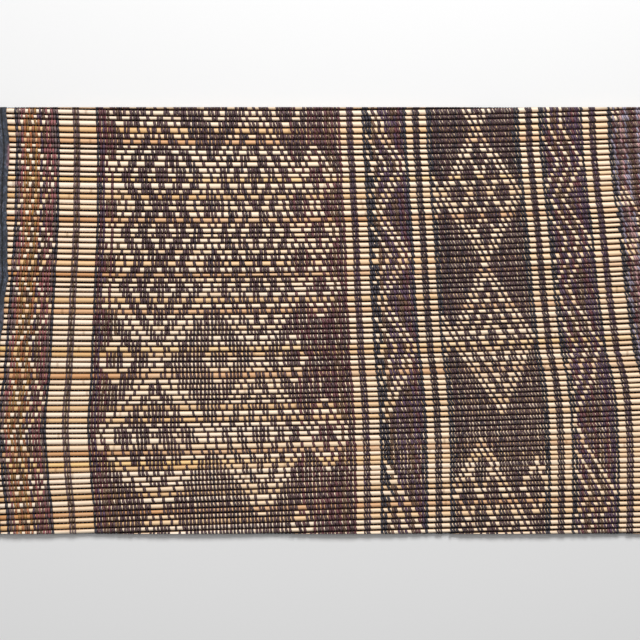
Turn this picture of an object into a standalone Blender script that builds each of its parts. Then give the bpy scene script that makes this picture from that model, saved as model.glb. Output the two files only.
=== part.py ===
"""A cut length of a reed and leather mat, lying flat.

Split reeds lie side by side, and narrow leather strips run across them, over and
under, and hold them together. A folded leather binding is sewn over the reeds'
ends along the left side. The other three sides are plain cuts.

+X runs along the reeds, +Y across them and +Z up. The origin is at the middle of
the mat's box, on the surface that the mat lies on. Lengths are in metres.
"""

import math
import random

import bmesh
import bpy

MM = 0.001

# Driving sizes of the mat.
MAT_LENGTH = 540 * MM  # along the reeds, over the binding
MAT_WIDTH = 341.6 * MM  # across the reeds, between the two cut sides
VIEW_LENGTH = 512 * MM  # the stretch over which the reeds' lean and arch are given
VIEW_START = -254 * MM  # where that stretch begins, in X

# The reeds with the leather strips round them, which make the ribs.
REED_PITCH = 4.52 * MM  # from one gap between reeds to the next, on average
REED_UNEVEN = 0.16  # how far one reed's pitch departs from the average
RIB_TOP = 4.6 * MM  # crown of an average rib
RIB_UNEVEN = 0.25 * MM  # how far one rib's crown departs from that
GAP_TOP = 3.3 * MM  # bottom of the groove between two ribs, on the upper side
LONG_STEPS = 4  # faces along the reeds, right of the binding
PRESSED_COLUMNS = 2  # cross sections under the binding, where the reeds are pressed

# The binding: one leather strip folded over the reeds' pressed ends.
BINDING_WIDTH = 10 * MM  # from the fold to the flap's edge
BINDING_LEATHER = 1.1 * MM
CLEARANCE = 0.3 * MM  # between the binding and what it holds
BINDING_HEIGHT = 5.0 * MM  # over both flaps
FOLD_STEPS = 8  # faces round the fold
FLAP_STEPS = 2  # faces across each flap
BINDING_STEPS = 3  # faces along the binding, for each row of LEFT_SIDE
OVERRUN = 3.0  # millimetres that the binding runs on before it is trimmed
PRESS_RUN = 2.5 * MM  # how far past the flap the reeds swell to their full height

# A rib's cross section: groove, shoulder, crown and shoulder. The step is in pitches,
# the rise goes from groove to crown, and under is the underside's height in millimetres.
RIB = (
    # step, rise, under
    (0.00, 0.0, 1.2),
    (0.22, 0.8, 0.0),
    (0.50, 1.0, 0.0),
    (0.78, 0.8, 0.0),
)

# How a reed runs. It rises by lean from the view's left side to its right, and sinks
# by arch in the middle. Distances down are from the far cut side, in millimetres.
COURSE = (
    # down, lean, arch
    (18, 3.3, 4.0),
    (98, 7.7, 5.1),
    (178, 9.3, 4.0),
    (258, 11.0, 2.6),
    (322, 16.1, -0.6),
)

# The uneven left side: how far the fold lies inside the mat's box, in millimetres.
LEFT_SIDE = (
    # down, inset
    (0.0, 11.0),
    (31.0, 12.6),
    (86.0, 11.2),
    (154.0, 8.0),
    (202.0, 3.8),
    (258.0, 0.0),
    (314.0, 4.6),
    (341.6, 6.4),
)

REED_COLOUR = (0.36, 0.25, 0.16, 1.0)
REED_ROUGHNESS = 0.55
BINDING_COLOUR = (0.030, 0.042, 0.060, 1.0)
BINDING_ROUGHNESS = 0.5


def eased(table, down, column):
    """The table's value in a column at a distance down, eased between its rows."""
    at = down / MM
    if at <= table[0][0]:
        return table[0][column] * MM
    for low, high in zip(table, table[1:]):
        if at <= high[0]:
            share = (at - low[0]) / (high[0] - low[0])
            share = (1 - math.cos(math.pi * share)) / 2
            return (low[column] + (high[column] - low[column]) * share) * MM
    return table[-1][column] * MM


def across(x, down):
    """The Y of a reed's line at x, where down is its distance at the view's left side."""
    along = (x - VIEW_START) / VIEW_LENGTH
    lean, arch = eased(COURSE, down, 1), eased(COURSE, down, 2)
    return MAT_WIDTH / 2 - down + lean * along - arch * 4 * along * (1 - along)


def left_side(y):
    """The X of the binding's fold at y."""
    return -MAT_LENGTH / 2 + eased(LEFT_SIDE, MAT_WIDTH / 2 - y, 1)


def reeds():
    """Each reed's start, pitch and crown, from beyond the far side to the near one."""
    uneven = random.Random(5)
    most_lean = max(row[1] for row in COURSE) * MM
    most_arch = max(row[2] for row in COURSE) * MM
    down, rows = -most_arch - REED_PITCH, []
    while down < MAT_WIDTH + most_lean + REED_PITCH:
        pitch = REED_PITCH * (1 + uneven.uniform(-REED_UNEVEN, REED_UNEVEN))
        rows.append((down, pitch, RIB_TOP + uneven.uniform(-RIB_UNEVEN, RIB_UNEVEN)))
        down += pitch
    return rows


def rib_lines():
    """For each line of points along the mat: its distance down and its two heights."""
    lines = []
    for start, pitch, crown in reeds():
        for step, rise, under in RIB:
            top = GAP_TOP + (crown - GAP_TOP) * rise
            lines.append((start + step * pitch, top, under * MM))
    return lines


def stations(y):
    """The X of each cross section of the field, from the reeds' pressed ends."""
    fold = left_side(y)
    inner = (BINDING_HEIGHT - 2 * BINDING_LEATHER) / 2
    ends = fold + BINDING_LEATHER + inner
    pressed = fold + BINDING_WIDTH
    full = pressed + PRESS_RUN
    run = (MAT_LENGTH / 2 - full) / LONG_STEPS
    return [ends, pressed] + [full + run * step for step in range(LONG_STEPS + 1)]


def material(name, colour, roughness):
    """A plain finish."""
    finish = bpy.data.materials.new(name)
    finish.use_nodes = True
    shader = finish.node_tree.nodes["Principled BSDF"]
    shader.inputs["Base Color"].default_value = colour
    shader.inputs["Roughness"].default_value = roughness
    shader.inputs["Metallic"].default_value = 0.0
    return finish


def add_object(name, bm, collection, finish=None):
    """Turn a bmesh into a named object."""
    mesh = bpy.data.meshes.new(name)
    bm.to_mesh(mesh)
    bm.free()
    thing = bpy.data.objects.new(name, mesh)
    collection.objects.link(thing)
    if finish:
        mesh.materials.append(finish)
    return thing


def cutting_frame(cutters):
    """The room between the two cut sides, to which each piece is trimmed."""
    bm = bmesh.new()
    bmesh.ops.create_cube(bm, size=1.0)
    room = (2 * MAT_LENGTH, MAT_WIDTH, 10 * BINDING_HEIGHT)
    bmesh.ops.scale(bm, vec=room, verts=bm.verts[:])
    frame = add_object("cutting_frame", bm, cutters)
    frame.hide_render = True
    frame.display_type = "WIRE"
    return frame


def trim(piece, frame):
    """Cut a piece off square at the two cut sides."""
    cut = piece.modifiers.new("cut sides", "BOOLEAN")
    cut.operation = "INTERSECT"
    cut.object = frame


def woven_field(parts, frame):
    """The reeds and strips as one ribbed slab, pressed thin under the binding."""
    lines = rib_lines()
    columns = len(stations(0.0))
    pressed_under = BINDING_LEATHER + CLEARANCE
    pressed_top = BINDING_HEIGHT - pressed_under
    bm = bmesh.new()
    bmesh.ops.create_grid(bm, x_segments=columns - 1, y_segments=len(lines) - 1, size=0.5)
    underside = bm.verts.layers.float.new("underside")
    for vert in bm.verts:
        column = round((vert.co.x + 0.5) * (columns - 1))
        down, top, under = lines[round((0.5 - vert.co.y) * (len(lines) - 1))]
        if column < PRESSED_COLUMNS:
            top, under = pressed_top, pressed_under
        x = stations(MAT_WIDTH / 2 - down)[column]
        vert.co = (x, across(x, down), top)
        vert[underside] = under
    made = bmesh.ops.extrude_face_region(bm, geom=bm.faces[:])["geom"]
    for vert in (thing for thing in made if isinstance(thing, bmesh.types.BMVert)):
        vert.co.z = vert[underside]
    bmesh.ops.recalc_face_normals(bm, faces=bm.faces[:])
    bm.verts.layers.float.remove(underside)
    finish = material("reed_weave", REED_COLOUR, REED_ROUGHNESS)
    field = add_object("woven_field", bm, parts, finish)
    trim(field, frame)
    return field


def binding_profile():
    """The folded strip's middle line, from the upper flap's edge round to the lower's."""
    radius = (BINDING_HEIGHT - BINDING_LEATHER) / 2
    fold_centre = BINDING_LEATHER / 2 + radius
    flap = BINDING_WIDTH - fold_centre
    upper = [
        (fold_centre + flap * (1 - step / FLAP_STEPS), BINDING_HEIGHT - BINDING_LEATHER / 2)
        for step in range(FLAP_STEPS)
    ]
    middle = BINDING_HEIGHT / 2
    fold = []
    for step in range(FOLD_STEPS + 1):
        angle = math.pi / 2 + math.pi * step / FOLD_STEPS
        fold.append((fold_centre + radius * math.cos(angle), middle + radius * math.sin(angle)))
    lower = [(x, BINDING_HEIGHT - z) for x, z in reversed(upper)]
    return upper + fold + lower


def binding_stations():
    """The Y of each cross section of the binding, from beyond one cut side to the other."""
    ends = [down for down, inset in LEFT_SIDE]
    downs = [ends[0] - OVERRUN]
    for low, high in zip(ends, ends[1:]):
        downs += [low + (high - low) * step / BINDING_STEPS for step in range(BINDING_STEPS)]
    downs += [ends[-1], ends[-1] + OVERRUN]
    return [MAT_WIDTH / 2 - down * MM for down in downs]


def edge_binding(parts, frame):
    """The leather strip folded over the reeds' ends, along the uneven left side."""
    profile, places = binding_profile(), binding_stations()
    bm = bmesh.new()
    bmesh.ops.create_grid(
        bm, x_segments=len(profile) - 1, y_segments=len(places) - 1, size=0.5
    )
    for vert in bm.verts:
        x, z = profile[round((vert.co.x + 0.5) * (len(profile) - 1))]
        y = places[round((0.5 - vert.co.y) * (len(places) - 1))]
        vert.co = (left_side(y) + x, y, z)
    finish = material("binding_leather", BINDING_COLOUR, BINDING_ROUGHNESS)
    binding = add_object("edge_binding", bm, parts, finish)
    leather = binding.modifiers.new("leather", "SOLIDIFY")
    leather.thickness = BINDING_LEATHER
    leather.offset = 0.0
    trim(binding, frame)
    binding.data.shade_smooth()
    return binding


for old in list(bpy.data.objects):
    bpy.data.objects.remove(old, do_unlink=True)

mat_parts = bpy.data.collections.new("reed_and_leather_mat")
mat_cutters = bpy.data.collections.new("cutters")
for group in (mat_parts, mat_cutters):
    bpy.context.scene.collection.children.link(group)

cut_frame = cutting_frame(mat_cutters)
woven_field(mat_parts, cut_frame)
edge_binding(mat_parts, cut_frame)
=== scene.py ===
import math
import random

import bpy
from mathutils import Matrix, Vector, noise


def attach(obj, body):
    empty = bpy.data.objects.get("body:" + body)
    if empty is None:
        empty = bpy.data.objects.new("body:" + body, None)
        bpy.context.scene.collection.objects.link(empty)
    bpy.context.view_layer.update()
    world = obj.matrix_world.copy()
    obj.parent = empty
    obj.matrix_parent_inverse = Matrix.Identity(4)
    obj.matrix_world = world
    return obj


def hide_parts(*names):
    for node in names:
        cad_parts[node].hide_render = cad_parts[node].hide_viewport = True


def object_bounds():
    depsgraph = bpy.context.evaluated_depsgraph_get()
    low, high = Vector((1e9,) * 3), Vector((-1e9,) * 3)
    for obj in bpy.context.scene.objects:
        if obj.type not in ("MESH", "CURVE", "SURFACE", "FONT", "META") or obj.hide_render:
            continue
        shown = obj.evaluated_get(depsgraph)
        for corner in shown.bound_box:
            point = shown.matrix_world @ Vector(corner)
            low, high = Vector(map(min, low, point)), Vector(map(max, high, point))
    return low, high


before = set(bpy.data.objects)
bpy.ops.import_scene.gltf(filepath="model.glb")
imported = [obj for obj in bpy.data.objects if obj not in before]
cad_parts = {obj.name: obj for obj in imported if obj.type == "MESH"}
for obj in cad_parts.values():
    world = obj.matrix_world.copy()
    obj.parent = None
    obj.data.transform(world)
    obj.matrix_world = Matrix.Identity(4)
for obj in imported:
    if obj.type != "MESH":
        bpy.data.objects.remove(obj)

cad_low, cad_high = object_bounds()

# The picture looks straight down on the mat, from above its middle. Half a metre of it fills the
# picture from side to side, so the binding runs down the left side and the right end is just outside.
MM = 0.001
VIEW_ACROSS = 512 * MM
VIEW_CENTRE = (2.0 * MM, 0.4 * MM)
VIEW_HEIGHT = 1400 * MM  # above the mat's top
SENSOR = 36.0  # width of the camera's sensor in millimetres

bpy.ops.object.select_all(action="DESELECT")
bpy.ops.object.camera_add(location=(*VIEW_CENTRE, cad_high.z + VIEW_HEIGHT))
camera = bpy.context.active_object
camera.name = "camera"
camera.data.sensor_width = SENSOR
camera.data.lens = SENSOR * VIEW_HEIGHT / VIEW_ACROSS
bpy.context.scene.camera = camera

# The reeds: some eighty stalks of dry reed side by side, no two of the same thickness or colour. They
# run a little uphill to the right and sag in the middle. The binding presses their left ends thin,
# and they are cut square at the right.
VIEW_START = -254 * MM  # the picture's left side in X, where a reed's distance down is given
REED_PITCH = 4.52 * MM  # from one gap between reeds to the next, before it is made uneven
REED_UNEVEN = 0.16  # how far one reed's pitch departs from that, as a share
RIB_TOP = 4.6 * MM  # top of the strips over a reed
RIB_UNEVEN = 0.25 * MM
REED_GAP = 1.15 * MM  # between two reeds, where the strips pass
OVER_REED = 0.5 * MM  # room for a strip over a reed
UNDER_REED = 0.9 * MM  # room for two strips under it
REED_SIDES = 12
REED_LENGTHS = 34  # stretches from ring to ring along a reed, right of the binding
REED_RINGS = REED_LENGTHS + 3  # with two rings under the binding
BINDING_WIDTH = 10 * MM  # from the fold to the flap's edge
BINDING_LEATHER = 1.1 * MM
BINDING_HEIGHT = 5.0 * MM  # over both flaps
CLEARANCE = 0.3 * MM  # between the binding and what it holds
REED_INSET = BINDING_LEATHER + (BINDING_HEIGHT - 2 * BINDING_LEATHER) / 2  # fold to reeds' ends
PRESS_RUN = 2.5 * MM  # how far past the flap the reeds swell to their full height
PRESSED = (BINDING_LEATHER + CLEARANCE, BINDING_HEIGHT - BINDING_LEATHER - CLEARANCE)
COURSE = (
    # down, lean, arch, in millimetres
    (18, 3.3, 4.0),
    (98, 7.7, 5.1),
    (178, 9.3, 4.0),
    (258, 11.0, 2.6),
    (322, 16.1, -0.6),
)
LEFT_SIDE = (
    # down, inset, in millimetres
    (0.0, 11.0),
    (34.0, 13.4),
    (64.0, 11.9),
    (88.0, 11.1),
    (104.0, 12.1),
    (117.0, 11.6),
    (134.0, 12.4),
    (156.0, 9.3),
    (170.0, 8.7),
    (192.0, 5.6),
    (258.0, 0.0),
    (314.0, 4.6),
    (341.6, 6.4),
)
# How uneven a reed is along its length, and the noise that this comes from: how fast it runs along
# the reed, the step in it from reed to reed, and its layer.
REED_SWELL = 0.05  # as a share of the reed's width
REED_DRIFT = 0.25 * MM
GAP_UNEVEN = 0.6  # as a share of the gap
SWELL_NOISE = (30, 7.3, 0)
DRIFT_NOISE = (12, 3.1, 9)
GAP_NOISE = (9, 3.7, 4)
# Some reeds are darker than the rest, by their distance down from the far side in millimetres.
DARK_REEDS = {
    "gold": (57.9, 193.2, 288.0),
    "tan": (13.9, 71.5, 121.4, 152.0, 198.0, 242.4, 252.8, 293.6, 316.8, 336.5),
    "rust": (23.5, 89.1, 135.0, 164.9, 215.8, 278.5, 327.7),
}
OTHER_REEDS = ("cream", "cream", "cream", "straw")
REED_COLOURS = {
    "cream": (253, 234, 211),
    "straw": (247, 219, 185),
    "gold": (242, 202, 132),
    "tan": (230, 184, 126),
    "rust": (212, 152, 98),
}
REED_SHADES = (0.92, 1.04)
# A reed's own colour fades to straw: how far at the left end, how much more at the right, how unevenly.
FADE_START = 0.1
FADE_GAIN = 0.6
FADE_UNEVEN = 0.5
FADE_NOISE = (0.23, 5.7, 2)  # as above, with its speed from ring to ring
JOINTS = 7.5  # to the metre
JOINT_SHIFT = 31.0  # keeps the joints of neighbours from lining up
REED_MARKS = {
    # colour, share of it where the mark is strongest
    "fibre": ((150, 96, 52), 0.3),
    "stain": ((205, 146, 88), 0.4),
    "joint": ((120, 80, 45), 0.5),
    # painted shade: tan down each reed's flanks, towards the gaps between reeds
    "flank": ((196, 140, 84), 0.8),
    # painted shade: near-black deep in the gaps between reeds
    "dirt": ((20, 13, 10), 1.0),
}
# heights of the painted shade on the reeds' flanks, and below it deep in the gaps
FLANK_SHADE_LEVELS = (3.7 * MM, 3.0 * MM)  # a mark begins at the first height and is full at the second
# heights over which the painted shade deep in the gaps comes in
GAP_SHADE_LEVELS = (2.9 * MM, 2.3 * MM)
MERGE = 0.001 * MM  # points that are closer than this are one


def eased(table, down, column):
    """The table's value in a column at a distance down, eased between its rows."""
    at = down / MM
    if at <= table[0][0]:
        return table[0][column] * MM
    for low, high in zip(table, table[1:]):
        if at <= high[0]:
            share = (at - low[0]) / (high[0] - low[0])
            share = (1 - math.cos(math.pi * share)) / 2
            return (low[column] + (high[column] - low[column]) * share) * MM
    return table[-1][column] * MM


def across(x, down):
    """The Y of a reed's line at x, where down is its distance at the view's left side."""
    along = (x - VIEW_START) / VIEW_ACROSS
    lean, arch = eased(COURSE, down, 1), eased(COURSE, down, 2)
    return cad_high.y - down + lean * along - arch * 4 * along * (1 - along)


def left_side(y):
    """The X of the binding's fold at y."""
    return cad_low.x + eased(LEFT_SIDE, cad_high.y - y, 1)


def waver(along, number, kind):
    """Smooth noise along a piece, between about -1 and 1. Its kind is its speed, its step and its layer."""
    speed, step, layer = kind
    return noise.noise(Vector((along * speed, number * step, layer)))


def reed_rows():
    """Each reed's start, pitch and crown, from beyond the far side to the near one."""
    uneven = random.Random(5)
    most_lean = max(row[1] for row in COURSE) * MM
    most_arch = max(row[2] for row in COURSE) * MM
    down, rows = -most_arch - REED_PITCH, []
    while down < cad_high.y - cad_low.y + most_lean + REED_PITCH:
        pitch = REED_PITCH * (1 + uneven.uniform(-REED_UNEVEN, REED_UNEVEN))
        rows.append((down, pitch, RIB_TOP + uneven.uniform(-RIB_UNEVEN, RIB_UNEVEN)))
        down += pitch
    return rows


def paint(red, green, blue, share=1.0):
    """A colour as the eye names it, from 0 to 255, turned into the light that a shader wants."""
    light = [v / 255 / 12.92 if v < 11 else ((v / 255 + 0.055) / 1.055) ** 2.4 for v in (red, green, blue)]
    return (*(v * share for v in light), 1.0)


def cap_map(mesh, columns, lengths, sides):
    """Lays each cap in a cell of its own on the piece's map, out of the cells that rolling left empty.

    A cap is a face that has no area on the map yet.
    """
    corners = mesh.uv_layers["OFBake"].data
    no_area, cap_reach = 1e-10, 0.4  # the reach is in cells, from a cap's middle
    used = 0
    for face in mesh.polygons:
        flat = [corners[loop].uv for loop in face.loop_indices]
        if abs(sum(a.x * b.y - b.x * a.y for a, b in zip(flat, flat[1:] + flat[:1]))) > no_area:
            continue
        line, tube = divmod(used, columns // (sides + 1))
        middle = Vector((tube * (sides + 1) + sides + 0.5, line % lengths + 0.5))
        points = [mesh.vertices[index].co - face.center for index in face.vertices]
        reach = max(point.length for point in points)
        across_cap = points[0].normalized()
        along_cap = face.normal.cross(across_cap)
        for loop, point in zip(face.loop_indices, points):
            spread = Vector((point.dot(across_cap), point.dot(along_cap))) * (cap_reach / reach)
            corners[loop].uv = ((middle.x + spread.x) / columns, (middle.y + spread.y) / lengths)
        used += 1


def trim(*ends):
    """Cuts the piece that is being edited off square at each end, which is a point and the way out.

    A hole is closed along its own edge, because a filled bisect would join tubes that overlap.
    """
    for point, out in ends:
        bpy.ops.mesh.select_all(action="SELECT")
        bpy.ops.mesh.bisect(plane_co=point, plane_no=out, clear_outer=True, threshold=MERGE)
        bpy.ops.mesh.select_all(action="SELECT")
        bpy.ops.mesh.fill_holes(sides=0)


def roll(name, tubes, tones, *ends):
    """Cuts a flat grid into ribbons, rolls each one up into a closed tube and trims the tubes.

    A tube is a list of rings, and a ring is a list of points, which runs clockwise as the next rings
    see it. Each ring has one tone, and turn says how far round its tube a point is.
    """
    sides, lengths = len(tubes[0][0]), len(tubes[0]) - 1
    columns = len(tubes) * (sides + 1)
    bpy.ops.object.select_all(action="DESELECT")
    bpy.ops.mesh.primitive_grid_add(x_subdivisions=columns, y_subdivisions=lengths, size=2)
    piece = bpy.context.active_object
    piece.name = piece.data.name = name
    mesh = piece.data
    mesh.uv_layers[0].name = "OFBake"
    bpy.ops.object.mode_set(mode="EDIT")
    bpy.ops.mesh.select_mode(type="FACE")
    bpy.ops.mesh.select_all(action="DESELECT")
    bpy.ops.object.mode_set(mode="OBJECT")
    for face in mesh.polygons:
        face.select = int((face.center.x + 1) / 2 * columns) % (sides + 1) == sides
    mesh.color_attributes.new("tone", "FLOAT_COLOR", "POINT")
    mesh.attributes.new("turn", "FLOAT", "POINT")
    tone, turn = mesh.attributes["tone"], mesh.attributes["turn"]
    for vert in mesh.vertices:
        tube, corner = divmod(round((vert.co.x + 1) / 2 * columns), sides + 1)
        ring = round((1 - vert.co.y) / 2 * lengths)
        if tube < len(tubes):
            vert.co = tubes[tube][ring][corner % sides]
            tone.data[vert.index].color = tones[tube][ring]
            turn.data[vert.index].value = corner % sides / sides
    bpy.ops.object.mode_set(mode="EDIT")
    bpy.ops.mesh.delete(type="FACE")
    bpy.ops.mesh.select_all(action="SELECT")
    bpy.ops.mesh.remove_doubles(threshold=MERGE)
    bpy.ops.mesh.fill_holes(sides=0)
    trim(*ends)
    bpy.ops.object.mode_set(mode="OBJECT")
    cap_map(mesh, columns, lengths, sides)
    bpy.ops.object.shade_smooth()
    return piece


FAR_SIDE = ((0, cad_high.y, 0), (0, 1, 0))
NEAR_SIDE = ((0, cad_low.y, 0), (0, -1, 0))
RIGHT_END = ((cad_high.x, 0, 0), (1, 0, 0))

REEDS = reed_rows()


def reed_tube(number):
    """The rings of one reed, from its pressed left end to its cut right end."""
    start, pitch, crown = REEDS[number]
    line = start + pitch / 2
    fold = left_side(across(cad_low.x, line))
    pressed = fold + BINDING_WIDTH
    full = pressed + PRESS_RUN
    run = (cad_high.x - full) / REED_LENGTHS
    places = [fold + REED_INSET, pressed] + [full + run * step for step in range(REED_LENGTHS + 1)]
    rings = []
    for place, x in enumerate(places):
        low, high = PRESSED if place < 2 else (UNDER_REED, crown - OVER_REED)
        swell = 1 + REED_SWELL * waver(x, number, SWELL_NOISE)
        drift = REED_DRIFT * waver(x, number, DRIFT_NOISE)
        gap = REED_GAP * (1 + GAP_UNEVEN * waver(x, number, GAP_NOISE))
        wide, deep = (pitch - gap) / 2 * swell, (high - low) / 2 * min(swell, 1.0)
        ring = []
        for side in range(REED_SIDES):
            turn = -2 * math.pi * side / REED_SIDES
            y = across(x, line) + drift + wide * math.cos(turn)
            ring.append((x, y, (low + high) / 2 + deep * math.sin(turn)))
        rings.append(ring)
    return rings


def reed_tones(number, pick):
    """A reed's tone at each ring. Most are cream or straw, and some are gold, tan or rust in places.

    The tone's fourth value is a number of the reed's own, which places its joints.
    """
    start, pitch, crown = REEDS[number]
    kind = pick.choice(OTHER_REEDS)
    for name, downs in DARK_REEDS.items():
        if any(start <= down * MM < start + pitch for down in downs):
            kind = name
    share, own = pick.uniform(*REED_SHADES), pick.random()
    full, plain = paint(*REED_COLOURS[kind], share), paint(*REED_COLOURS["straw"], share)
    tones = []
    for ring in range(REED_RINGS):
        fade = FADE_START + FADE_GAIN * ring / REED_LENGTHS + FADE_UNEVEN * waver(ring, number, FADE_NOISE)
        tones.append((*(a + (b - a) * max(0.0, fade) for a, b in zip(full[:3], plain[:3])), own))
    return tones


class Flow:
    """What a socket gives, somewhere in a finish. A sum on it adds a Math node."""

    def __init__(self, finish, socket=None):
        self.finish, self.socket = finish, socket

    def node(self, kind, settings=None, values=None, out=0):
        """Adds a node: first its settings, then its sockets' values and links."""
        tree = self.finish.node_tree
        made = tree.nodes.new("ShaderNode" + kind)
        for name, setting in (settings or {}).items():
            setattr(made, name, setting)
        for name, value in (values or {}).items():
            if isinstance(value, Flow):
                tree.links.new(value.socket, made.inputs[name])
            else:
                made.inputs[name].default_value = value
        return Flow(self.finish, made.outputs[out])

    def sum(self, operation, first, second):
        return self.node("Math", {"operation": operation}, {0: first, 1: second})

    def __add__(self, other):
        return self.sum("ADD", self, other)

    __radd__ = __add__

    def __sub__(self, other):
        return self.sum("SUBTRACT", self, other)

    def __rsub__(self, other):
        return self.sum("SUBTRACT", other, self)

    def __mul__(self, other):
        return self.sum("MULTIPLY", self, other)

    __rmul__ = __mul__

    def sized(self):
        """Its size, without its sign."""
        return self.node("Math", {"operation": "ABSOLUTE"}, {0: self})

    def between(self, low, high):
        """0 at low and before it, 1 at high and past it. Low may be the greater one."""
        return self.node("MapRange", values={"Value": self, "From Min": low, "From Max": high})

    def axis(self, name):
        """Its X, Y or Z alone."""
        return self.node("SeparateXYZ", values={"Vector": self}, out=name)

    def stored(self, name, out="Fac"):
        """What the piece's attribute of this name holds."""
        return self.node("Attribute", {"attribute_name": name}, out=out)

    def grain(self, stretch, detail=2.0, rough=0.5):
        """Noise of this many specks to the metre along X, Y and Z."""
        spread = self.node("Mapping", values={"Vector": self, "Scale": stretch})
        values = {"Vector": spread, "Scale": 1.0, "Detail": detail, "Roughness": rough}
        return self.node("TexNoise", values=values)

    def marked(self, mark, where, way="MIX"):
        """This colour with a mark on it, which is a colour and the share of it where the mask is 1."""
        colour, share = mark
        values = {0: where * share, 6: self, 7: paint(*colour)}
        return self.node("Mix", {"data_type": "RGBA", "blend_type": way}, values, out=2)

    def bump(self, strength, depth):
        """The surface's direction, with this as its height."""
        return self.node("Bump", values={"Height": self, "Strength": strength, "Distance": depth})


def finish_of(name):
    """A new finish, with the place on the mat."""
    finish = bpy.data.materials.new(name)
    finish.use_nodes = True
    return finish, Flow(finish).node("TexCoord", out="Object")


def set_shader(finish, **sockets):
    """Links or sets the sockets of the finish's shader. Their names have _ for a space."""
    shader = finish.node_tree.nodes["Principled BSDF"]
    for name, value in sockets.items():
        socket = shader.inputs[name.replace("_", " ")]
        if isinstance(value, Flow):
            finish.node_tree.links.new(value.socket, socket)
        else:
            socket.default_value = value


def reed_finish():
    """Dry reed: glossy skin with fine fibres, tan stains and a few joints, and painted shade down its
    flanks, tan and then near-black deep in the grooves between reeds.
    """
    finish, place = finish_of("dry_reed")
    height = place.axis("Z")
    fibre = place.grain((40, 1800, 1800), detail=3.0, rough=0.7)
    patch = place.grain((22, 260, 260))
    joints = {"W": place.axis("X") * JOINTS + place.stored("tone", "Alpha") * JOINT_SHIFT, "Scale": 1.0}
    joint = 1 - place.node("TexVoronoi", {"voronoi_dimensions": "1D"}, joints).between(0.0, 0.012)
    colour = place.stored("tone", "Color").marked(REED_MARKS["fibre"], fibre.between(0.45, 0.25))
    colour = colour.marked(REED_MARKS["stain"], patch.between(0.56, 0.78))
    colour = colour.marked(REED_MARKS["joint"], joint)
    # painted shade: the flanks turn tan and then near-black down into the gaps between reeds
    colour = colour.marked(REED_MARKS["flank"], height.between(*FLANK_SHADE_LEVELS))
    colour = colour.marked(REED_MARKS["dirt"], height.between(*GAP_SHADE_LEVELS))
    skin = (fibre - joint * 0.5).bump(0.35, 0.1 * MM)
    set_shader(finish, Base_Color=colour, Roughness=0.42 + fibre * 0.2, Normal=skin)
    return finish


pick = random.Random(11)
tubes = [reed_tube(number) for number in range(len(REEDS))]
tones = [reed_tones(number, pick) for number in range(len(REEDS))]
reeds = roll("reeds", tubes, tones, FAR_SIDE, NEAR_SIDE)
bpy.ops.object.shade_smooth_by_angle(angle=math.radians(40))
reeds.data.materials.append(reed_finish())
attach(reeds, "root")
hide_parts("woven_field")

# The strips of the left border: narrow strips of goatskin, dyed red, orange-brown, ochre, olive and
# purple, with black at both sides, woven over and under the reeds by hand. Three fine zigzag lines run
# down it, where one strip at a time goes under a reed.
STRIP_THICK = 0.4 * MM
GAP_LEVEL = 2.6 * MM  # where a strip passes down between two reeds
REED_STEPS = (
    # step in pitches, below the crown when over, height when under, in millimetres, share of the width
    (0.22, 0.62, 1.1, 0.95),
    (0.50, 0.20, 0.65, 1.0),
    (0.78, 0.62, 1.1, 0.95),
)
GAP_WIDTH = 0.72  # share of a strip's width that is left where it is pulled tight in a gap
NEIGHBOUR_LIFT = 0.03 * MM  # every second strip is this much higher, so that no points of two meet
# How far the strips have slid along the reeds, at the left, right of the middle and at the right.
DRIFT_AT = (0.0, 0.53, 1.0)
DRIFT = (
    # down, left, middle, right, in millimetres
    (0.0, 0.0, 0.0, 0.0),
    (30.4, 1.6, 0.8, 1.2),
    (49.6, 0.8, 2.4, 3.2),
    (70.4, 0.4, 3.2, 5.6),
    (91.2, 0.0, 4.4, 8.8),
    (112.0, -1.6, 5.6, 11.2),
    (132.8, -3.2, 6.0, 13.6),
    (153.6, -4.8, 6.8, 16.0),
    (174.4, -6.4, 8.0, 19.2),
    (195.2, -8.0, 8.8, 22.4),
    (216.0, -9.6, 10.4, 28.8),
    (236.8, -12.8, 12.0, 32.0),
    (257.6, -14.4, 12.8, 33.6),
    (278.4, -12.8, 13.6, 34.4),
    (299.2, -11.2, 13.6, 34.4),
    (320.0, -8.0, 14.0, 34.4),
    (341.6, -6.4, 14.0, 33.6),
)
# How far a strip leans as it crosses a reed, in degrees, by its place in X in millimetres.
LEAN = ((-190, 0), (-150, 6), (-90, 9), (-14, 15), (60, 23), (270, 25))
# How uneven the strips and their knots are. A knot is where a strip crosses one reed.
STRIP_WIDTHS = (0.92, 1.08)
STRIP_SHADES = (0.8, 1.15)
KNOT_WIDTHS = (0.87, 1.13)
KNOT_SHADES = (0.72, 1.28)
OTHER_DYE = 0.22  # share of the knots that have the dye of a strip beside them
KNOT_LEAN = 0.2  # as a slope
KNOT_STRAY = 0.08  # in pitches
KNOT_RISE = 0.1  # in millimetres
STRAY_SPEEDS = (0.8, 0.45)  # of the noise by which strips stray, from strip to strip and reed to reed
DYES = {
    "n": (34, 37, 48),  # black with a blue cast
    "d": (72, 45, 47),  # dark brown
    "k": (50, 36, 45),  # near black
    "m": (94, 46, 50),  # maroon
    "p": (76, 50, 72),  # purple
    "b": (98, 68, 46),  # olive-brown
    "r": (184, 140, 140),  # faded rose
    "g": (158, 146, 164),  # faded grey-blue
    "c": (112, 86, 84),  # faded brown
    "a": (150, 84, 84),  # red
    "o": (156, 112, 52),  # ochre
    "e": (164, 100, 58),  # orange-brown
}
STRIP_MARKS = {
    # as on the reeds
    "dark": ((0, 0, 0), 0.3),
    # worn paler on the crowns, and a painted highlight down each strip's middle
    "rubbed": ((152, 134, 138), 1.0),
    # painted shade along each strip's sides, so that it looks rounded
    "side": ((14, 9, 9), 0.8),
    # painted shade in the gaps between reeds
    "dirt": ((10, 7, 8), 1.0),
}
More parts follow.
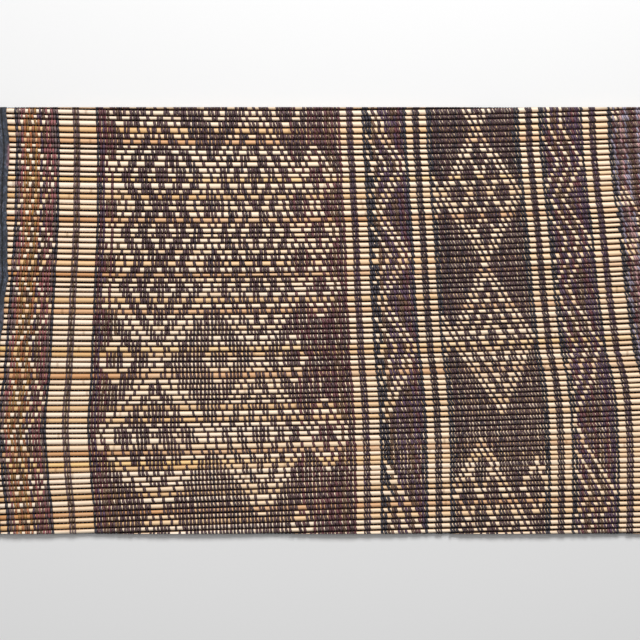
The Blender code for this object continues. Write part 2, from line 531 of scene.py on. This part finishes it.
UPPER_FACE = 0.375  # how far round a strip the middle of its upper face is
# heights over which the crowns' wear and painted highlight come in
WEAR_AND_HIGHLIGHT_LEVELS = (3.6 * MM, 4.5 * MM)
# heights over which the strips' painted shade in the gaps comes in
STRIP_GAP_SHADE_LEVELS = (3.9 * MM, 2.9 * MM)


def straight(table, at, column=1):
    """The table's value in a column, on straight lines between its rows."""
    for low, high in zip(table, table[1:]):
        if at <= high[0]:
            share = max(0.0, (at - low[0]) / (high[0] - low[0]))
            return low[column] + (high[column] - low[column]) * share
    return table[-1][column]


def slid(home, down):
    """The X of a strip at a distance down, where home is its X at the far side."""
    along = (home - VIEW_START) / VIEW_ACROSS
    slides = [straight(DRIFT, down / MM, column) * MM for column in (1, 2, 3)]
    return home + straight(list(zip(DRIFT_AT, slides)), along)


def crossing(home, down):
    """The X and Y where a strip meets the line at a distance down."""
    x = slid(home, cad_high.y - across(home, down))
    return x, across(x, down)


def strip_tube(middle):
    """The four-sided rings of a strip from its middle line of X, Y, Z and width."""
    rings = []
    for at, (x, y, z, width) in enumerate(middle):
        before, after = middle[max(at - 1, 0)], middle[min(at + 1, len(middle) - 1)]
        rise = Vector((0, before[2] - after[2], after[1] - before[1])).normalized()
        up = rise * STRIP_THICK / 2 * (1 if rise.z > 0 else -1)
        side = Vector((width / 2, 0, 0))
        centre = Vector((x, y, z))
        rings.append([centre - side - up, centre - side + up, centre + side + up, centre + side - up])
    return rings


def goes_under(shows, strip, reed, most):
    """Whether a strip goes under a reed that shows there, with no more than most of them side by side."""
    bare = 0
    while shows(strip + 0.5 - bare, reed):
        bare += 1
    return bare % (most + 1) > 0


def lace(name, left, pitch, dyes, shows, fills, narrowed=None, first=0, loose=0.18, most=2, seed=1):
    """Strips woven through the reeds, one for each letter of dyes, from the left.

    shows(strip, reed) tells where a reed shows, fills are a strip's width in pitches at the far side
    and at the near one, and narrowed(home, reed) is how much less of that is left at a place. First is
    the number of the first strip, loose is how far strips stray, in pitches, and most is how many
    strips side by side may go under one reed.
    """
    pick = random.Random(seed)
    tubes, tones = [], []
    for number, dye in enumerate(dyes):
        strip = first + number
        home = left + (strip + 0.5) * pitch
        lean = math.tan(math.radians(straight(LEAN, home / MM)))
        own = pick.uniform(*STRIP_WIDTHS)
        shade = pick.uniform(*STRIP_SHADES)
        lift = NEIGHBOUR_LIFT * (strip % 2)
        middle, tone, last = [], [], 0.0
        for reed, (start, reed_pitch, crown) in enumerate(REEDS):
            under = goes_under(shows, strip, reed, most)
            other = dyes[max(0, min(len(dyes) - 1, number + pick.choice((-1, 1))))]
            seen = DYES[other if pick.random() < OTHER_DYE else dye]
            colour = paint(*seen, shade * pick.uniform(*KNOT_SHADES))
            fill = fills[0] + (fills[1] - fills[0]) * reed / len(REEDS)
            if narrowed:
                fill -= narrowed(home, reed)
            width = pitch * fill * own * pick.uniform(*KNOT_WIDTHS)
            slope = lean + pick.uniform(-KNOT_LEAN, KNOT_LEAN)
            aside = loose * waver(strip, reed, (*STRAY_SPEEDS, seed)) + pick.uniform(-KNOT_STRAY, KNOT_STRAY)
            aside *= pitch
            top = crown + pick.uniform(-KNOT_RISE, KNOT_RISE) * MM
            x, y = crossing(home, start)
            middle.append((x + (last + aside) / 2, y, GAP_LEVEL + lift, width * GAP_WIDTH))
            tone.append(colour)
            for step, below, lowest, share in REED_STEPS:
                x, y = crossing(home, start + step * reed_pitch)
                x += aside + slope * (step - 0.5) * reed_pitch
                middle.append((x, y, lowest * MM + lift if under else top - below * MM, width * share))
                tone.append(colour)
            last = aside
        tubes.append(strip_tube(middle))
        tones.append(tone)
    piece = roll(name, tubes, tones, FAR_SIDE, NEAR_SIDE, RIGHT_END)
    piece.data.materials.append(leather)
    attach(piece, "root")
    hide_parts("woven_field")
    return piece


def strip_finish():
    """Dyed goatskin: dull, with fine creases and darker patches, worn paler on its crowns with a painted
    highlight down each strip's middle, and painted shade along its sides and in the gaps.
    """
    finish, place = finish_of("dyed_goatskin")
    height = place.axis("Z")
    crease = place.grain((1300, 700, 1300), detail=3.0, rough=0.65)
    patch = place.grain((60, 60, 60), detail=3.0)
    aside = (place.stored("turn") - UPPER_FACE).sized()
    # a painted highlight down the middle of each strip's upper face, on top of the crowns' wear
    middle = 1 - aside.between(0.02, 0.11)
    rubbed = height.between(*WEAR_AND_HIGHLIGHT_LEVELS) * crease.between(0.35, 0.7)
    colour = place.stored("tone", "Color").marked(STRIP_MARKS["dark"], patch.between(0.45, 0.75))
    # worn paler on the crowns, plus a painted highlight down each strip's middle
    colour = colour.marked(STRIP_MARKS["rubbed"], rubbed * (0.12 + middle * 0.42), "SCREEN")
    # painted shade along each strip's sides, so that it looks rounded
    colour = colour.marked(STRIP_MARKS["side"], aside.between(0.06, 0.12))
    # painted shade where the strips go down into the gaps
    colour = colour.marked(STRIP_MARKS["dirt"], height.between(*STRIP_GAP_SHADE_LEVELS))
    skin = crease.bump(0.6, 0.18 * MM)
    set_shader(
        finish, Base_Color=colour, Roughness=0.62 - rubbed * 0.15, Specular_IOR_Level=0.3, Normal=skin
    )
    return finish


def in_code(code, distance, reed):
    """Whether a reed shows at a distance in strips: yes for _ in the code, on every second reed for ."""
    at = math.floor(distance + 0.5)
    mark = code[at] if 0 <= at < len(code) else "X"
    return mark == "_" or (mark == "." and reed % 2 == 1)


def on_zigzag(strip, reed, turns, lines, last):
    """Whether a crossing is on one of the lines that zigzag together. The outermost strips stay plain."""
    return 1 < strip < last and in_code(lines, straight(turns, reed) - strip, reed)


leather = strip_finish()
BORDER_TURNS = (
    # reed, strip
    (1.3, 12.7),
    (7.9, 6.7),
    (13.9, 14.5),
    (20.7, 7.3),
    (25.7, 14.7),
    (32.1, 8.0),
    (37.4, 14.9),
    (45.2, 7.3),
    (55.2, 14.9),
    (61.6, 7.3),
    (69.0, 14.5),
    (75.4, 6.9),
    (82.9, 14.0),
)
BORDER_LAST = 15  # the zigzag lines end at this strip
THREE_LINES = "_XXX_XXX_"  # four strips apart, one strip wide


def border_shows(strip, reed):
    return on_zigzag(strip, reed, BORDER_TURNS, THREE_LINES, BORDER_LAST)


left_border = lace(
    "left_border", -242.8 * MM, 2.2 * MM, "ncaeoeboepbamacn", border_shows, (0.93, 0.91), seed=2
)

# The strips of the wide field: dark brown goatskin, reddish at both sides and drawn narrower in the
# middle of its nearer part. Its pattern is diamonds in diamonds, in chains side by side, and single
# small ones in the room that is left. Reeds that show where strips go under them draw its lines.
FIELD_LEFT = -180.7 * MM
FIELD_PITCH = 2.72 * MM
FIELD_DYES = "dbddd" + "d" * 18 + "kdddd" * 4 + "d" * 8 + "dmddmd" + "mdmmdmbmdm"
FIELD_FILLS = (0.85, 0.93)
EDGE_PITCH = 2.27 * MM  # of the narrower strips at the field's left side
EDGE_PLAIN = 3  # strips of these that have no pattern
FIRST = 6  # number of the first strip of full width
SPLIT = FIRST + len(FIELD_DYES) // 2  # number of the first strip of the field's right half
WAIST = 0.18  # how much narrower the strips are where they are narrowest, in pitches
WAIST_PLACE = -90 * MM  # where that is in X, and how far it reaches to each side
WAIST_REACH = 75 * MM
WAIST_FIRST = 30  # the reed from which they become narrower, and over how many reeds
WAIST_ROWS = 14
CHAIN = (13.4, 23.6, 33.7)  # reeds on which the upper chains' diamonds stand
SINGLE = "XXXX_."
FIELD_DIAMONDS = (
    # strip of the middle, reeds of the middles, strips to a reed, lines from the middle out
    (-8.8, CHAIN, 1.09, "XXXXXXXXXXXXX._X_."),
    (19.8, CHAIN, 1.09, "XXX._XXX._XXX__X_."),
    (47.2, CHAIN, 1.05, "XXX._XX._XX._X_"),
    (64.9, CHAIN, 1.09, "XXX._X_"),
    (8.1, (0.5,), 1.09, SINGLE),
    (36.4, (0.7,), 1.09, SINGLE),
    (57.0, (1.2,), 1.09, SINGLE),
    (8.0, (47.1,), 1.14, "XXX.__"),
    (36.3, (47.0,), 0.92, "XXX._"),
    (56.8, (47.0,), 0.9, "XXX._"),
    (19.2, (61.2,), 1.12, "XXXXXXXXXXXX.__X_."),
    (19.1, (57.0, 65.5), 1.09, "XXXX_"),
    (10.0, (61.3,), 1.09, "XXXX_"),
    (28.3, (61.3,), 1.09, "XXXX_"),
    (47.2, (61.1,), 0.91, "XXX._XX._XX._X_"),
    (65.2, (61.3,), 0.88, "XXX._X_"),
    (19.1, (88.0,), 1.09, "XXXXXXXXXXXXX._X_"),
    (58.0, (78.1,), 0.92, "XX._"),
)


def drawn(diamonds, strip, reed):
    """Whether a crossing is on a line of one of some diamonds."""
    for axis, middles, slope, code in diamonds:
        distance = abs(strip - axis) + slope * min(abs(reed - middle) for middle in middles)
        if in_code(code, distance, reed):
            return True
    return False


def field_shows(strip, reed):
    return drawn(FIELD_DIAMONDS, strip, reed)


def edge_shows(strip, reed):
    """The pattern runs on over the inner half of the narrower strips."""
    return strip > EDGE_PLAIN and field_shows(1 + strip * EDGE_PITCH / FIELD_PITCH, reed)


def waist(home, reed):
    narrow = max(0.0, 1 - ((home - WAIST_PLACE) / WAIST_REACH) ** 2)
    return WAIST * narrow * min(1.0, max(0.0, (reed - WAIST_FIRST) / WAIST_ROWS))


wide_field = [
    lace("field_edge", FIELD_LEFT + FIELD_PITCH, EDGE_PITCH, "nmpmbm", edge_shows, (0.95, 0.95), seed=14),
    lace(
        "wide_field_left", FIELD_LEFT, FIELD_PITCH, FIELD_DYES[:SPLIT - FIRST], field_shows, FIELD_FILLS,
        waist, first=FIRST, loose=0.3, most=3, seed=3,
    ),
    lace(
        "wide_field_right", FIELD_LEFT, FIELD_PITCH, FIELD_DYES[SPLIT - FIRST:], field_shows, FIELD_FILLS,
        waist, first=SPLIT, loose=0.25, most=3, seed=4,
    ),
]

# The strips of the zigzag band, in dark brown, purple, maroon and olive-brown, with blue-black at both
# sides. One line zigzags down it, and finer ones run along its left side.
BAND_TURNS = (
    # reed, strip
    (2.5, 4.6),
    (11.4, 13.1),
    (19.9, 4.9),
    (27.7, 12.3),
    (36.4, 4.1),
    (45.6, 12.8),
    (60.9, 0.2),
    (65.6, 0.2),
    (81.0, 13.5),
)
BAND_LAST = 13.5
BAND_LINES = "_X_XXX_XX._"
LOW_BAND_LINES = "_.XX_.XX_"  # past the band's plain stretch
LOW_BAND = 63  # the last reed of that stretch


def band_shows(strip, reed):
    lines = LOW_BAND_LINES if reed > LOW_BAND else BAND_LINES
    return on_zigzag(strip, reed, BAND_TURNS, lines, BAND_LAST)


zigzag_band = lace("zigzag_band", 35.2 * MM, 2.52 * MM, "nnnbdpdpdbpmpn", band_shows, (0.96, 0.94), seed=5)

# The strips of the diamond band, in dark brown with black at both sides. Large diamonds stand on its
# middle, one with rings and one with a net of small diamonds by turns, and others are cut by its sides.
RINGED = "XXX__XX._XX._X_"
CUT = "XXXXXXXXXXX._X_"
BAND_DIAMONDS = (
    # as in the wide field
    (17.7, (-7.0,), 1.07, RINGED),
    (17.3, (43.9,), 0.98, RINGED),
    (-8.9, (17.1,), 1.03, CUT),
    (-8.9, (43.6,), 0.98, CUT),
    (28.2, (72.5,), 0.89, "XXXX_."),
)
DIAMONDS_LAST = 32
NETS = (
    # strip and reed of the middle, strips to a reed, strips from the middle to the edge
    (17.7, 17.1, 1.08, 14),
    (10.1, 91.8, 0.97, 28),
)
NET_LINES = 8  # strips from one line of a net to the next
NET_EDGE = 2  # strips from the diamond's edge to the net's first line


def net_shows(strip, reed, axis, middle, slope, edge):
    """A diamond with a double edge, and a net of small diamonds in it."""
    rise = slope * (reed - middle)
    lines = [math.floor(abs(strip - axis + way) + 0.5) for way in (rise, -rise)]
    if max(lines) > edge - NET_EDGE:
        return max(lines) == edge
    past = [(edge - NET_EDGE - line) % NET_LINES for line in lines]
    apart = (past[0] - past[1]) % NET_LINES not in (1, 2, NET_LINES - 2, NET_LINES - 1)
    return 0 in past or (1 in past and apart and reed % 2 == 1)


def diamond_shows(strip, reed):
    if not 1 < strip < DIAMONDS_LAST:
        return False
    return drawn(BAND_DIAMONDS, strip, reed) or any(net_shows(strip, reed, *net) for net in NETS)


diamond_band = lace(
    "diamond_band", 86.4 * MM, 2.264 * MM, "nn" + "ddkddd" * 4 + "ddddd" + "nn", diamond_shows, (0.89, 0.88),
    seed=6,
)

# The strips of the narrow band, in purple and maroon with black at both sides. Three fine lines zigzag
# down it, as down the left border.
NARROW_TURNS = (
    # reed, strip
    (5.0, 7.5),
    (11.3, 13.7),
    (19.1, 6.3),
    (26.4, 13.8),
    (34.8, 4.4),
    (46.2, 13.3),
    (60.4, 0.7),
    (74.4, 13.4),
    (81.5, 4.9),
)
NARROW_LAST = 14


def narrow_shows(strip, reed):
    return on_zigzag(strip, reed, NARROW_TURNS, THREE_LINES, NARROW_LAST)


narrow_band = lace(
    "narrow_band", 176.4 * MM, 2.36 * MM, "nnpmpbpmdbpmppn", narrow_shows, (0.93, 0.91), seed=7
)

# The strips of the right border, in faded grey-blue, rose, brown and maroon, with black at its left.
# The mat is cut off along it, and it slides past the cut as it comes nearer. Small dotted figures stand
# in it, where every second strip goes under.
PEAKS = ((-10, 4, 3.5), (17, 30, 4.5))  # first reed, last reed and strip of each figure
FIGURE_REACH = 4  # strips from a figure's middle to its straight sides


def right_shows(strip, reed):
    for first, last, axis in PEAKS:
        step, aside = min(reed - first, last - reed), abs(strip - axis)
        if 0 <= step < FIGURE_REACH and aside <= step and (aside + step) % 2 == 0:
            return True
        if step >= FIGURE_REACH and aside == FIGURE_REACH + step % 2:
            return True
    return False


right_border = lace(
    "right_border", 231.6 * MM, 1.92 * MM, "nngmcrmgcbmcgrmggrgm", right_shows, (0.94, 0.94), seed=8
)

# The dividers: three thin dark strips of the same goatskin, side by side between two bands. They go
# over every reed, and bare reed shows at each side of them.
DIVIDER_PITCH = 1.75 * MM
DIVIDERS = (
    # left side, in millimetres, and dyes
    (-196.4, "cbc"),
    (22.8, "dpd"),
    (75.6, "kdk"),
    (166.0, "dkd"),
    (216.8, "dpd"),
)


def never(strip, reed):
    return False


dividers = [
    lace(f"divider_{number}", left * MM, DIVIDER_PITCH, dyes, never, (0.96, 0.84), seed=8 + number)
    for number, (left, dyes) in enumerate(DIVIDERS, 1)
]

# The strips at the back: plain dark strips that lie under the reeds, side by side from the binding to the
# right end, and rise into each gap to hold the face's strips. Near black, they also stand in for shade, so
# that no gap between reeds shows the pale floor.
BACK_LEFT = -243 * MM
BACK_PITCH = 2.6 * MM
BACK_WIDTH = BACK_PITCH * 0.96
BACK_STRIPS = 197
BACK_GAP_LEVEL = 1.0 * MM
BACK_LEVEL = 0.22 * MM
# they spread out only to stand in for shade, so that the gaps beside the binding don't show the floor
BACK_SPREAD = 60 * MM  # the strips up to this far from the binding spread out to lie up against it


def back(name, first, count):
    tubes, tones = [], []
    for strip in range(first, first + count):
        home = BACK_LEFT + (strip + 0.5) * BACK_PITCH
        share = max(0.0, 1 - (home - BACK_LEFT) / BACK_SPREAD)
        middle = []
        for start, reed_pitch, crown in REEDS:
            for step, level in ((0.0, BACK_GAP_LEVEL), (0.5, BACK_LEVEL)):
                x, y = crossing(home, start + step * reed_pitch)
                room = x - home + BACK_LEFT - left_side(y) - BINDING_WIDTH - CLEARANCE
                middle.append((x - room * share, y, level, BACK_WIDTH))
        tubes.append(strip_tube(middle))
        tones.append([paint(*DYES["k"])] * len(middle))
    piece = roll(name, tubes, tones, FAR_SIDE, NEAR_SIDE, RIGHT_END)
    piece.data.materials.append(leather)
    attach(piece, "root")
    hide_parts("woven_field")
    return piece


half = BACK_STRIPS // 2
backs = [back("back_left", 0, half), back("back_right", half, BACK_STRIPS - half)]

# The binding: one strip of blue-black leather, folded over the reeds' ends and sewn down through both
# flaps. It sinks a little between the reeds, its cut edge is uneven, and the seam lies in a crease.
FLAP_COLUMNS = 16
FOLD_COLUMNS = 12
BINDING_ROWS = 232
OVERRUN = 3 * MM  # it is made this much too long at each end and then trimmed
SEAM = 4.3 * MM  # from the upper flap's cut edge to the seam
SEAM_REACH = 0.75 * MM  # from the seam's middle to the side of its crease
SAG_REACH = 0.9 * MM  # from the middle of a gap between reeds
EDGE_REACH = 1.4 * MM  # how far from the cut edge the leather wears
EDGE_UNEVEN = 0.5 * MM
EDGE_NOISE = (160, 7, 1)
SEAM_DEPTH, SAG_DEPTH, SKIN_UNEVEN = 0.3, 0.16, 0.15  # in millimetres
SKIN_NOISE = (400, 150, 3)
WORN_PLACE = 132 * MM  # where in Y the flap's edge is worn reddish
WORN_REACHES = (11 * MM, 6 * MM)  # from there to where the wear ends, and to where it is full
BINDING_BASE = (26, 31, 43)
BINDING_MARKS = {
    # as on the reeds
    # worn slate-grey, and a painted highlight on the crease ridges
    "rubbed": ((104, 114, 134), 1.0),
    "reddish": ((150, 118, 126), 0.5),
    "worn": ((150, 98, 102), 0.8),
    # painted shade in the seam's crease
    "seam": ((5, 6, 10), 1.0),
}


def folded_line():
    """The folded strip's middle line in X and Z, from the upper flap's edge round to the lower one's."""
    radius = (BINDING_HEIGHT - BINDING_LEATHER) / 2
    centre = BINDING_LEATHER / 2 + radius
    step = (BINDING_WIDTH - centre) / FLAP_COLUMNS
    level = BINDING_HEIGHT - BINDING_LEATHER / 2
    upper = [(BINDING_WIDTH - step * at, level) for at in range(FLAP_COLUMNS)]
    turns = [math.pi * (0.5 + at / FOLD_COLUMNS) for at in range(FOLD_COLUMNS + 1)]
    middle = BINDING_HEIGHT / 2
    fold = [(centre + radius * math.cos(turn), middle + radius * math.sin(turn)) for turn in turns]
    return upper + fold + [(x, BINDING_HEIGHT - z) for x, z in reversed(upper)]


def hump(distance, reach):
    """1 at no distance, and nearly 0 at twice the reach."""
    return math.exp(-((distance / reach) ** 2))


def binding_finish():
    """Blue-black leather: slate-grey where it is worn, with a painted highlight on its creases, reddish in
    patches, and painted shade, black, in the seam's crease.
    """
    finish, place = finish_of("binding_leather")
    crease = place.grain((700, 420, 700), detail=4.0, rough=0.65)
    patch = place.grain((90, 60, 90), detail=3.0)
    base = place.node("RGB")
    base.socket.default_value = paint(*BINDING_BASE)
    dark = patch.between(0.52, 0.4)
    reddish = patch.between(0.6, 0.74) * crease.between(0.4, 0.6)
    worn = (place.axis("Y") - WORN_PLACE).sized().between(*WORN_REACHES) * crease.between(0.35, 0.5)
    # worn slate-grey, and a painted highlight on the crease ridges
    colour = base.marked(BINDING_MARKS["rubbed"], crease.between(0.46, 0.7) * (0.75 - dark * 0.45))
    colour = colour.marked(BINDING_MARKS["reddish"], reddish)
    colour = colour.marked(BINDING_MARKS["worn"], worn * place.stored("edge"))
    # painted shade, black, in the seam's crease
    colour = colour.marked(BINDING_MARKS["seam"], place.stored("seam").between(0.2, 0.6))
    skin = crease.bump(0.6, 0.25 * MM)
    set_shader(finish, Base_Color=colour, Roughness=0.5 + crease * 0.2, Normal=skin)
    return finish


profile = folded_line()
reed_gaps = [across(cad_low.x + BINDING_WIDTH, start) for start, pitch, crown in REEDS]
bpy.ops.object.select_all(action="DESELECT")
bpy.ops.mesh.primitive_grid_add(x_subdivisions=len(profile) - 1, y_subdivisions=BINDING_ROWS, size=2)
binding = bpy.context.active_object
binding.name = binding.data.name = "binding"
for name in ("seam", "edge"):
    binding.data.attributes.new(name, "FLOAT", "POINT")
seam, edge = (binding.data.attributes[name] for name in ("seam", "edge"))
for vert in binding.data.vertices:
    column = round((vert.co.x + 1) / 2 * (len(profile) - 1))
    x, z = profile[column]
    y = vert.co.y * ((cad_high.y - cad_low.y) / 2 + OVERRUN)
    if column < FLAP_COLUMNS:
        groove = hump(BINDING_WIDTH - x - SEAM, SEAM_REACH)
        sag = hump(min(abs(y - line) for line in reed_gaps), SAG_REACH)
        z += MM * (SKIN_UNEVEN * waver(x, y, SKIN_NOISE) - SEAM_DEPTH * groove - SAG_DEPTH * sag)
        seam.data[vert.index].value = groove
        edge.data[vert.index].value = hump(BINDING_WIDTH - x, EDGE_REACH)
        x += EDGE_UNEVEN * waver(y, 1, EDGE_NOISE) * (1 - column / FLAP_COLUMNS)
    vert.co = (left_side(y) + x, y, z)
skin = binding.modifiers.new("skin", "SOLIDIFY")
skin.thickness = BINDING_LEATHER
skin.offset = 0.0
bpy.ops.object.modifier_apply(modifier=skin.name)
bpy.ops.object.mode_set(mode="EDIT")
trim(FAR_SIDE, NEAR_SIDE)
bpy.ops.object.mode_set(mode="OBJECT")
bpy.ops.object.shade_smooth_by_angle(angle=math.radians(50))
binding.data.materials.append(binding_finish())
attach(binding, "root")
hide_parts("edge_binding")

# The binding's thread: black waxed linen of two plies, in a running stitch. Only the stitches on the
# upper side are made, and their ends go down into the leather in the seam's crease.
STITCH = 4 * MM
STITCH_STEP = 6 * MM
STITCH_START = 1.5 * MM  # from the far side to the first stitch
THREAD_RADIUS = 0.35 * MM
THREAD_LOW = 4.3 * MM  # the middle of the thread where it goes into the leather
THREAD_RISE = 0.55 * MM
THREAD_RINGS = 7
THREAD_SIDES = 8
THREAD_COLOUR = (16, 16, 20)
THREAD_STRIPES = ((96, 94, 100), 0.2)


def stitch(first):
    """The rings of one stitch that starts at a Y."""
    rings = []
    for at in range(THREAD_RINGS):
        share = at / (THREAD_RINGS - 1)
        y = first - STITCH * share
        x = left_side(y) + BINDING_WIDTH - SEAM
        z = THREAD_LOW + THREAD_RISE * math.sin(math.pi * share) ** 0.5
        ring = []
        for side in range(THREAD_SIDES):
            turn = -2 * math.pi * side / THREAD_SIDES
            ring.append((x + THREAD_RADIUS * math.cos(turn), y, z + THREAD_RADIUS * math.sin(turn)))
        rings.append(ring)
    return rings


def thread_finish():
    """Waxed linen: two plies twisted together, dull, paler grey in stripes along the twist."""
    finish, place = finish_of("waxed_thread")
    turned = place.node("Mapping", values={"Vector": place, "Rotation": (0.0, 0.0, math.radians(40))})
    twist = turned.node("TexWave", values={"Vector": turned, "Scale": 520.0, "Distortion": 1.0})
    colour = place.stored("tone", "Color").marked(THREAD_STRIPES, twist.between(0.5, 1.0))
    set_shader(finish, Base_Color=colour, Roughness=0.6, Normal=twist.bump(0.5, 0.1 * MM))
    return finish


count = int((cad_high.y - cad_low.y) / STITCH_STEP)
stitches = [stitch(cad_high.y - STITCH_START - STITCH_STEP * at) for at in range(count)]
thread = roll("binding_thread", stitches, [[paint(*THREAD_COLOUR)] * THREAD_RINGS] * count)
thread.data.materials.append(thread_finish())
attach(thread, "root")

# The floor and the light: a plain pale floor a hair below the mat, one soft lamp beyond the far side,
# a weaker fill lamp and a faint white all round.
FLOOR_SIZE = 6
FLOOR_LEVEL = -0.2 * MM
LAMPS = {
    # place, size and power
    "key_lamp": ((0.2, 1.3, 1.3), 0.7, 34),
    "fill_lamp": ((-0.5, 0.3, 1.8), 1.2, 8),
}
bpy.ops.mesh.primitive_plane_add(size=FLOOR_SIZE, location=(0, 0, FLOOR_LEVEL))
floor = bpy.context.active_object
floor.name = "floor"
pale = bpy.data.materials.new("pale_floor")
pale.use_nodes = True
set_shader(pale, Base_Color=(0.8, 0.8, 0.8, 1.0), Roughness=0.9)
floor.data.materials.append(pale)

for name, (place, size, power) in LAMPS.items():
    bpy.ops.object.light_add(type="AREA", location=place)
    lamp = bpy.context.active_object
    lamp.name = name
    lamp.data.size = size
    lamp.data.energy = power
    lamp.rotation_euler = Vector(place).to_track_quat("Z", "Y").to_euler()

world = bpy.data.worlds.new("studio")
bpy.context.scene.world = world
world.use_nodes = True
background = world.node_tree.nodes["Background"]
background.inputs["Color"].default_value = (1.0, 1.0, 1.0, 1.0)
background.inputs["Strength"].default_value = 0.16
bpy.context.scene.view_settings.view_transform = "Standard"
